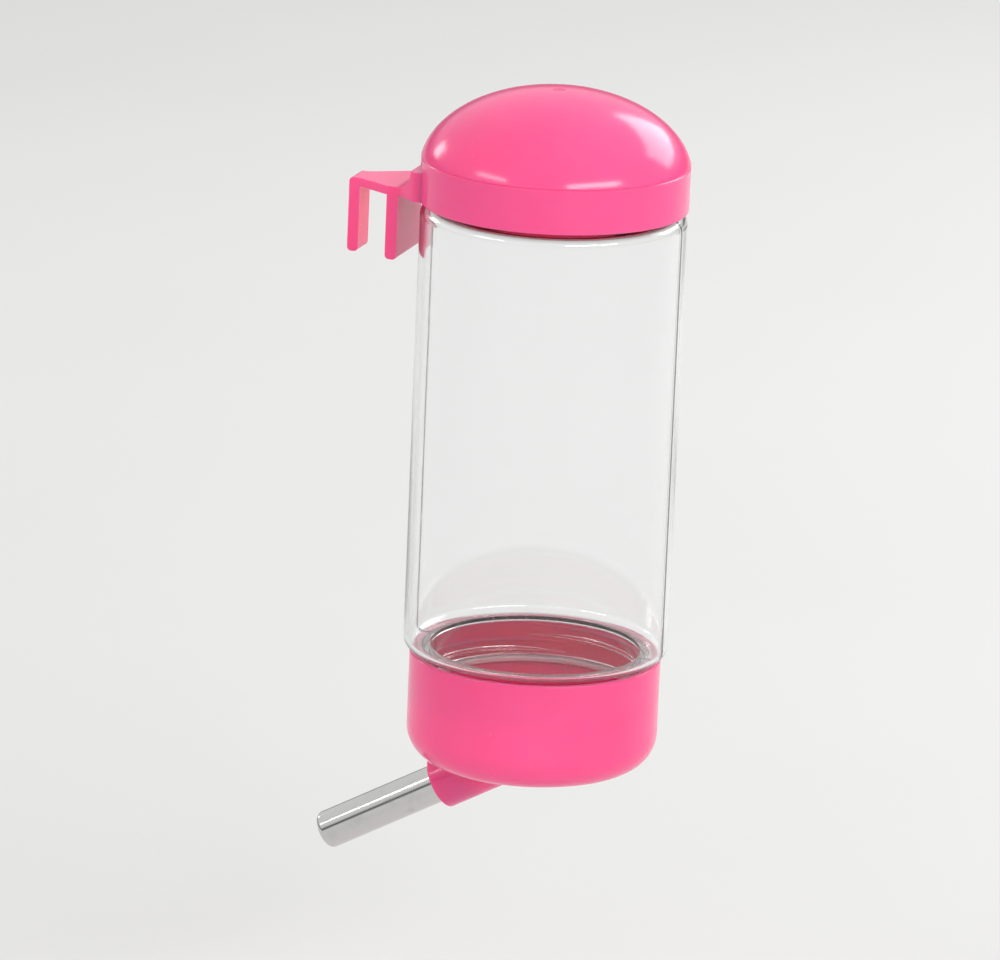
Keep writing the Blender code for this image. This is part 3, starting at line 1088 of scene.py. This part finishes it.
@dataclass
class SpoutCup:
    """Screw cup with a round bottom edge, a slanted boss, and the seal on its seat.

    Attributes:
        layout: Places from the frame.
        plastic: Finish of the cup.
        rubber: Finish of the seal.
        wall: Wall thickness.
        height: Height without the boss.
        fillet: Rounding of the bottom edge.
        seat: Width of the seal's seat.
        boss_radius: Outer radius of the boss.
        socket: Radius and depth of the hole for the bush.
        passage: Radius of the water passage behind it.
        boss_length: How far the boss runs back into the cup.
        boss_out: Distance from the ball's middle back to the boss's end face.
        thread: The cup's thread.
    """

    layout: Layout
    plastic: bpy.types.Material
    rubber: bpy.types.Material
    wall: float = 1.8 * MM
    height: float = 32.0 * MM
    fillet: float = 10.0 * MM
    seat: float = 3.0 * MM
    boss_radius: float = 7.9 * MM
    socket: tuple[float, float] = (6.9 * MM, 10.0 * MM)
    passage: float = 4.5 * MM
    boss_length: float = 42.0 * MM
    boss_out: float = BOSS_OUT
    thread: ScrewThread = field(default_factory=ScrewThread)

    def top(self) -> float:
        """Give the height of the cup's rim, under the bottle's lower shoulder."""
        return self.layout.bottle[0].z + LOW_NECK - SHOULDER_GAP

    def outside(self) -> Outline:
        """Give the outline of the outside, from the middle of the rim down and in.

        Returns:
            The points in order.
        """
        radius = self.layout.radius(self.layout.cup)
        top = self.top()
        base = top - self.height
        edge = 0.5 * MM
        outline = [(0.0, top)]
        outline += arc((radius - edge, top - edge), edge, 90.0, 0.0, 5)
        outline += arc((radius - self.fillet, base + self.fillet), self.fillet, 0.0, -90.0, 28)
        return outline + [(0.0, base)]

    def inside(self) -> Outline:
        """Give the outline of the hollow, from above the rim down and in.

        Returns:
            The points in order.
        """
        bore = self.layout.radius(self.layout.cup) - self.wall
        top = self.top()
        floor = top - self.height + self.wall
        seat = self.layout.cup_seal[0].z - FIT_GAP
        bowl = bore - self.seat
        bend = self.fillet - self.wall
        lead = 0.5 * MM
        outline = [(0.0, top + lead), (bore + lead, top + lead), (bore + lead, top)]
        outline += [(bore, top - lead), (bore, seat), (bowl + lead, seat), (bowl, seat - lead)]
        outline += arc((bowl - bend, floor + bend), bend, 0.0, -90.0, 18)
        return outline + [(0.0, floor)]

    def boss(self) -> bpy.types.Object:
        """Make the boss with rounded ends, about the spout's axis.

        Returns:
            A closed solid in the cup's coordinates.
        """
        end = -self.boss_out
        edge = 0.6 * MM
        outline = [(0.0, end)]
        outline += arc((self.boss_radius - edge, end - edge), edge, 90.0, 0.0, 5)
        outline += [(self.boss_radius, end - self.boss_length), (0.0, end - self.boss_length)]
        return moved(lathe("boss", outline, 96), self.in_cup())

    def bore(self) -> bpy.types.Object:
        """Make the solid that cuts the socket and the water passage.

        Returns:
            A closed solid in the cup's coordinates.
        """
        end = -self.boss_out
        radius, depth = self.socket
        lead = 0.3 * MM
        outline = [(0.0, end + lead), (radius + 2 * lead, end + lead), (radius, end - lead)]
        outline += [(radius, end - depth), (self.passage, end - depth)]
        outline += [(self.passage, end - self.boss_length), (0.0, end - self.boss_length)]
        return moved(lathe("bore", outline, 96), self.in_cup())

    def in_cup(self) -> Matrix:
        """Give the matrix from the spout's axis to coordinates about the bottle's axis."""
        return self.layout.upright().inverted() @ self.layout.along_spout()

    def build(self) -> None:
        """Make and dress the cup and its seal."""
        place = self.layout.upright()
        shell = lathe("cup_shell", self.outside(), 192)
        combine(shell, self.boss(), Join.UNION)
        combine(shell, lathe("cup_hollow", self.inside(), 192), Join.CUT)
        combine(shell, self.bore(), Join.CUT)
        turns = self.thread.turns(LOW_NECK)
        start = self.layout.bottle[0].z + self.thread.set_back + self.thread.pitch / 2
        wall = self.layout.radius(self.layout.cup) - self.wall
        bead = self.thread.bead("cup_thread", wall, start, turns, outward=False)
        combine(shell, bead, Join.UNION)
        smooth(moved(shell, place))
        finish_piece(shell, self.plastic, Body.SPOUT, "spout_cup")
        seal = SealRing().build("cup_seal_ring", self.layout.cup_seal, SEAL_WIDTH)
        finish_piece(moved(seal, place), self.rubber, Body.LOWER_SEAL, "cup_seal")


# ---------------------------------------------------------------- spout


@dataclass
class DrinkingSpout:
    """Steel tube in its bush, with the valve ball, its spring and the spring's stop.

    Heights are along the spout, 0 at the ball's middle.

    Attributes:
        layout: Places from the frame.
        steel_tube: Finish of the tube.
        steel_ball: Finish of the ball and the spring.
        rubber: Finish of the bush.
        stop_plastic: Finish of the spring's stop.
        radius: Outer radius of the tube.
        wall: Wall of the tube.
        tip: Height of the tip.
        lip: Outer rounding of the tip.
        bush_wall: Wall of the bush, with its ribs.
        boss_end: Height of the boss's end face.
        socket: Depth of the boss's socket.
        stop_depth: From the tip to the spring's stop.
    """

    layout: Layout
    steel_tube: bpy.types.Material
    steel_ball: bpy.types.Material
    rubber: bpy.types.Material
    stop_plastic: bpy.types.Material
    radius: float = 5.5 * MM
    wall: float = 0.6 * MM
    tip: float = 3.57 * MM
    lip: float = 1.6 * MM
    bush_wall: float = 0.8 * MM
    boss_end: float = -BOSS_OUT
    socket: float = 10.0 * MM
    stop_depth: float = 19.3 * MM

    def tube(self) -> bpy.types.Object:
        """Make the tube: rolled-in tip, flanged foot.

        Returns:
            The tube about the Z axis.
        """
        foot = self.boss_end - self.socket + FIT_GAP
        flange = self.radius + FIT_GAP + self.bush_wall
        bend = self.tip - self.lip
        opening = self.radius - self.lip
        bore = self.radius - self.wall
        edge = 0.2 * MM
        outline = arc((opening, bend), self.lip, 97.0, 0.0, 18)
        outline += [(self.radius, foot + self.wall + 0.3 * MM), (self.radius + 0.3 * MM, foot + self.wall)]
        outline += arc((flange - edge, foot + self.wall - edge), edge, 90.0, 0.0, 4)
        outline += arc((flange - edge, foot + edge), edge, 0.0, -90.0, 4)
        outline += [(bore + edge, foot), (bore, foot + edge)]
        outline += arc((opening, bend), self.lip - self.wall, 0.0, 93.0, 14)
        return smooth(lathe("drinking_tube", outline, 128, closed=True), 50.0)

    def ball(self) -> bpy.types.Object:
        """Make the ball as a turned half circle.

        Returns:
            The ball at the origin.
        """
        size = self.layout.ball_radius
        outline = [(0.0, size)] + arc((0.0, 0.0), size, 90.0, -90.0, 48)[1:-1] + [(0.0, -size)]
        return smooth(lathe("valve_ball", outline, 96))

    def spring(self) -> bpy.types.Object:
        """Make the spring, its end coils closed, from the stop to the ball.

        Returns:
            The spring about the Z axis.
        """
        wire = 0.25 * MM
        coil = self.radius - self.wall - 1.0 * MM - wire
        reach = self.layout.ball_radius + wire + FIT_GAP
        high = -math.sqrt(reach**2 - coil**2)
        low = self.tip - self.stop_depth + wire + FIT_GAP
        turns = 7.5
        closed = 1.0

        def height(turn: float) -> float:
            """Give the wire's height after so many turns.

            Args:
                turn: Number of turns from the lower end.

            Returns:
                The height.
            """
            dead = 2.1 * wire
            if turn < closed:
                return low + dead * turn
            if turn > turns - closed:
                return high - dead * (turns - turn)
            share = (turn - closed) / (turns - 2 * closed)
            return low + dead + (high - low - 2 * dead) * share

        def path(share: float) -> tuple[Vector, Vector, Vector]:
            """Give the place and axes of one section.

            Args:
                share: Share of the whole length, from 0 to 1.

            Returns:
                The middle, and the directions of the section's x and y.
            """
            angle = 2 * math.pi * turns * share
            out = Vector((math.cos(angle), math.sin(angle), 0.0))
            return out * coil + Vector((0, 0, height(turns * share))), out, Vector((0, 0, 1.0))

        section = arc((0.0, 0.0), wire, 0.0, 360.0, 10)[:-1]
        return smooth(swept("valve_spring", section, path, 260))

    def stop(self) -> bpy.types.Object:
        """Make the stop: a ring with three water channels in its bore.

        Returns:
            The stop about the Z axis.
        """
        bore = 2.0 * MM
        outer = self.radius - self.wall - FIT_GAP
        high = self.tip - self.stop_depth
        low = high - 3.0 * MM
        edge = 0.25 * MM
        corners = [(outer, high, edge), (outer, low, edge), (bore, low, edge), (bore, high, edge)]
        ring = lathe("spring_seat", rounded(corners, 3), 96, closed=True)
        top = high + edge
        foot = low - edge
        channel = 0.9 * MM
        channels = 3
        aside = Matrix.Translation((bore + 0.3 * MM, 0.0, 0.0))
        for i in range(channels):
            cutter = lathe("channel", [(0.0, top), (channel, top), (channel, foot), (0.0, foot)], 32)
            turn = Matrix.Rotation(math.radians(360 / channels * i), 4, "Z")
            combine(ring, moved(cutter, turn @ aside), Join.CUT)
        return smooth(ring)

    def bush(self) -> bpy.types.Object:
        """Make the bush: a sleeve with four sealing ribs outside.

        Returns:
            The bush about the Z axis.
        """
        inner = self.radius + FIT_GAP
        outer = inner + self.bush_wall
        low = self.boss_end - self.socket + self.wall + 2 * FIT_GAP
        high = self.boss_end - FIT_GAP
        groove = 0.3 * MM
        ribs = 4
        pitch = (high - low) / ribs
        corners = []
        for i in range(ribs):
            crest_high = high - i * pitch
            crest_low = crest_high - 0.6 * pitch
            corners += [(outer, crest_high, 0.2 * MM), (outer, crest_low, 0.2 * MM)]
            if i < ribs - 1:
                corners.append((outer - groove, crest_low - 0.1 * pitch, 0.0))
                corners.append((outer - groove, crest_high - 0.9 * pitch, 0.0))
        corners += [(outer - groove, low, 0.2 * MM), (inner, low, 0.2 * MM), (inner, high, 0.2 * MM)]
        return smooth(lathe("spout_sleeve", rounded(corners, 3), 96, closed=True))

    def build(self) -> None:
        """Make and dress the spout's five pieces."""
        place = self.layout.along_spout()
        pieces = (
            (self.tube(), self.steel_tube, Slot.STEEL, Body.SPOUT, "spout_tube"),
            (self.ball(), self.steel_ball, Slot.STEEL, Body.BALL, "nozzle_ball"),
            (self.spring(), self.steel_ball, Slot.STEEL, Body.SPOUT, "ball_spring"),
            (self.stop(), self.stop_plastic, Slot.STOP, Body.SPOUT, "spring_stop"),
            (self.bush(), self.rubber, Slot.SILICONE, Body.SPOUT, "spout_bush"),
        )
        for piece, material, slot, body, node in pieces:
            finish_piece(moved(piece, place), material, body, node)
            if node == "ball_spring":
                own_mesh(piece)


# ---------------------------------------------------------------- studio


@dataclass(frozen=True)
class SoftBox:
    """A square or oblong studio lamp that faces the bottle.

    Attributes:
        name: Name of the lamp.
        azimuth: Where it stands, in degrees, counted as the camera's.
        elevation: How high it stands, in degrees.
        distance: How far from the bottle.
        size: Width and height.
        power: Watts.
    """

    name: str
    azimuth: float
    elevation: float
    distance: float
    size: tuple[float, float]
    power: float

    def build(self, target: Vector) -> None:
        """Add the lamp, facing a target.

        Args:
            target: Point that it faces.
        """
        data = bpy.data.lights.new(self.name, "AREA")
        data.shape = "RECTANGLE"
        data.size, data.size_y = self.size
        data.energy = self.power
        lamp = bpy.data.objects.new(self.name, data)
        bpy.context.scene.collection.objects.link(lamp)
        out = direction(self.azimuth, self.elevation)
        lamp.location = target + out * self.distance
        lamp.rotation_euler = (-out).to_track_quat("-Z", "Y").to_euler()


def direction(azimuth: float, elevation: float) -> Vector:
    """Give the direction from the bottle to an azimuth and elevation.

    Args:
        azimuth: Degrees round the Z axis; 0 is along -Y.
        elevation: Degrees above the horizontal.

    Returns:
        The unit vector.
    """
    turn = math.radians(azimuth)
    rise = math.radians(elevation)
    return Vector((math.sin(turn) * math.cos(rise), -math.cos(turn) * math.cos(rise), math.sin(rise)))


@dataclass(frozen=True)
class Studio:
    """Pale floor, soft lamps, and the camera.

    Attributes:
        azimuth: The camera's azimuth in degrees; 0 looks along +Y.
        elevation: Its elevation in degrees.
        distance: Its distance from the middle of the bottle.
        lens: Focal length in millimetres.
        roll: How far the camera is turned about its view, in degrees.
        drop: Height of the floor below the object.
        floor_radius: Radius of the floor.
        sky: Strength of the sky.
    """

    azimuth: float = -73.0
    elevation: float = 15.0
    distance: float = 2.39
    lens: float = 305.0
    roll: float = 2.4
    drop: float = 0.07
    floor_radius: float = 7.0
    sky: float = 0.9

    def floor(self, height: float) -> None:
        """Add the floor at a height.

        Args:
            height: Height of its upper side.
        """
        edge = self.floor_radius
        under = height - 0.02
        outline = [(0.0, height), (edge, height), (edge, under), (0.0, under)]
        floor = lathe("studio_floor", outline, 96)
        floor.data.materials.append(StudioFloor("floor_finish", (0.64, 0.64, 0.635)).material())
        floor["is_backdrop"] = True

    def world(self) -> None:
        """Add a soft even sky over a darker band at the horizon."""
        world = bpy.data.worlds.new("studio_sky")
        world.use_nodes = True
        tree = world.node_tree
        place = tree.nodes.new("ShaderNodeTexCoord")
        split = tree.nodes.new("ShaderNodeSeparateXYZ")
        ramp = tree.nodes.new("ShaderNodeValToRGB")
        stops = ramp.color_ramp.elements
        stops[0].position = 0.0
        stops[1].position = 1.0
        for height, grey in ((0.1, 0.2), (0.2, 0.9)):
            stops.new(height).color = (grey, grey, grey, 1.0)
        stops[0].color = (0.16, 0.16, 0.17, 1.0)
        stops[3].color = (1.0, 1.0, 1.0, 1.0)
        sky = tree.nodes["Background"]
        sky.inputs["Strength"].default_value = self.sky
        tree.links.new(place.outputs["Generated"], split.inputs[0])
        tree.links.new(split.outputs["Z"], ramp.inputs[0])
        tree.links.new(ramp.outputs[0], sky.inputs["Color"])
        bpy.context.scene.world = world

    def camera(self, target: Vector) -> None:
        """Add the camera, facing a target.

        Args:
            target: Point that it faces.
        """
        data = bpy.data.cameras.new("camera")
        data.lens = self.lens
        data.clip_end = 100.0
        camera = bpy.data.objects.new("camera", data)
        bpy.context.scene.collection.objects.link(camera)
        out = direction(self.azimuth, self.elevation)
        camera.location = target + out * self.distance
        look = (-out).to_track_quat("-Z", "Y")
        camera.rotation_mode = "QUATERNION"
        camera.rotation_quaternion = look @ Quaternion((0.0, 0.0, 1.0), math.radians(self.roll))
        bpy.context.scene.camera = camera

    def build(self, low: Vector, high: Vector) -> None:
        """Set the studio up round an object's box.

        Args:
            low: Lowest corner of the box.
            high: Highest corner of the box.
        """
        target = (low + high) / 2
        self.camera(target)
        self.floor(low.z - self.drop)
        self.world()
        lamps = (
            SoftBox("front_strip", self.azimuth + 35.0, 26.0, 1.5, (1.2, 0.2), 10.0),
            SoftBox("left_strip", self.azimuth - 58.0, 26.0, 1.5, (0.7, 0.14), 3.0),
            SoftBox("back_window", self.azimuth + 136.0, 30.0, 1.8, (1.3, 0.75), 14.0),
            SoftBox("back_lamp", self.azimuth - 131.0, 18.0, 1.5, (0.3, 0.3), 1.6),
        )
        for lamp in lamps:
            lamp.build(target)
        scene = bpy.context.scene
        scene.view_settings.view_transform = "Standard"
        scene.cycles.max_bounces = 24
        scene.cycles.transmission_bounces = 24


# ---------------------------------------------------------------- main


def main() -> None:
    """Build the studio and every piece."""
    logging.basicConfig(level=logging.INFO, format="%(message)s")
    cad_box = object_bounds()
    Studio().build(*cad_box)
    layout = Layout.from_frame()
    axis = tuple(layout.spout_out)
    pink = GlossPlastic("pink_moulded_plastic", (0.98, 0.09, 0.285), (0.95, 0.074, 0.25)).material()
    clear = ClearPlastic("clear_moulded_plastic", (0.982, 0.985, 0.984)).material()
    rubber = Silicone("seal_silicone", (0.86, 0.6, 0.63)).material()
    tube_steel = Steel("drawn_steel", Grain.ALONG, axis).material()
    ball_steel = Steel("ball_steel", Grain.EVEN, axis, roughness=0.06).material()
    natural = GlossPlastic("natural_plastic", (0.72, 0.72, 0.69), (0.66, 0.66, 0.62), 0.35).material()
    HookLid(layout, pink, rubber).build()
    ClearBottle(layout, clear).build()
    SpoutCup(layout, pink, rubber).build()
    DrinkingSpout(layout, tube_steel, ball_steel, rubber, natural).build()


if __name__ == "__main__":
    main()
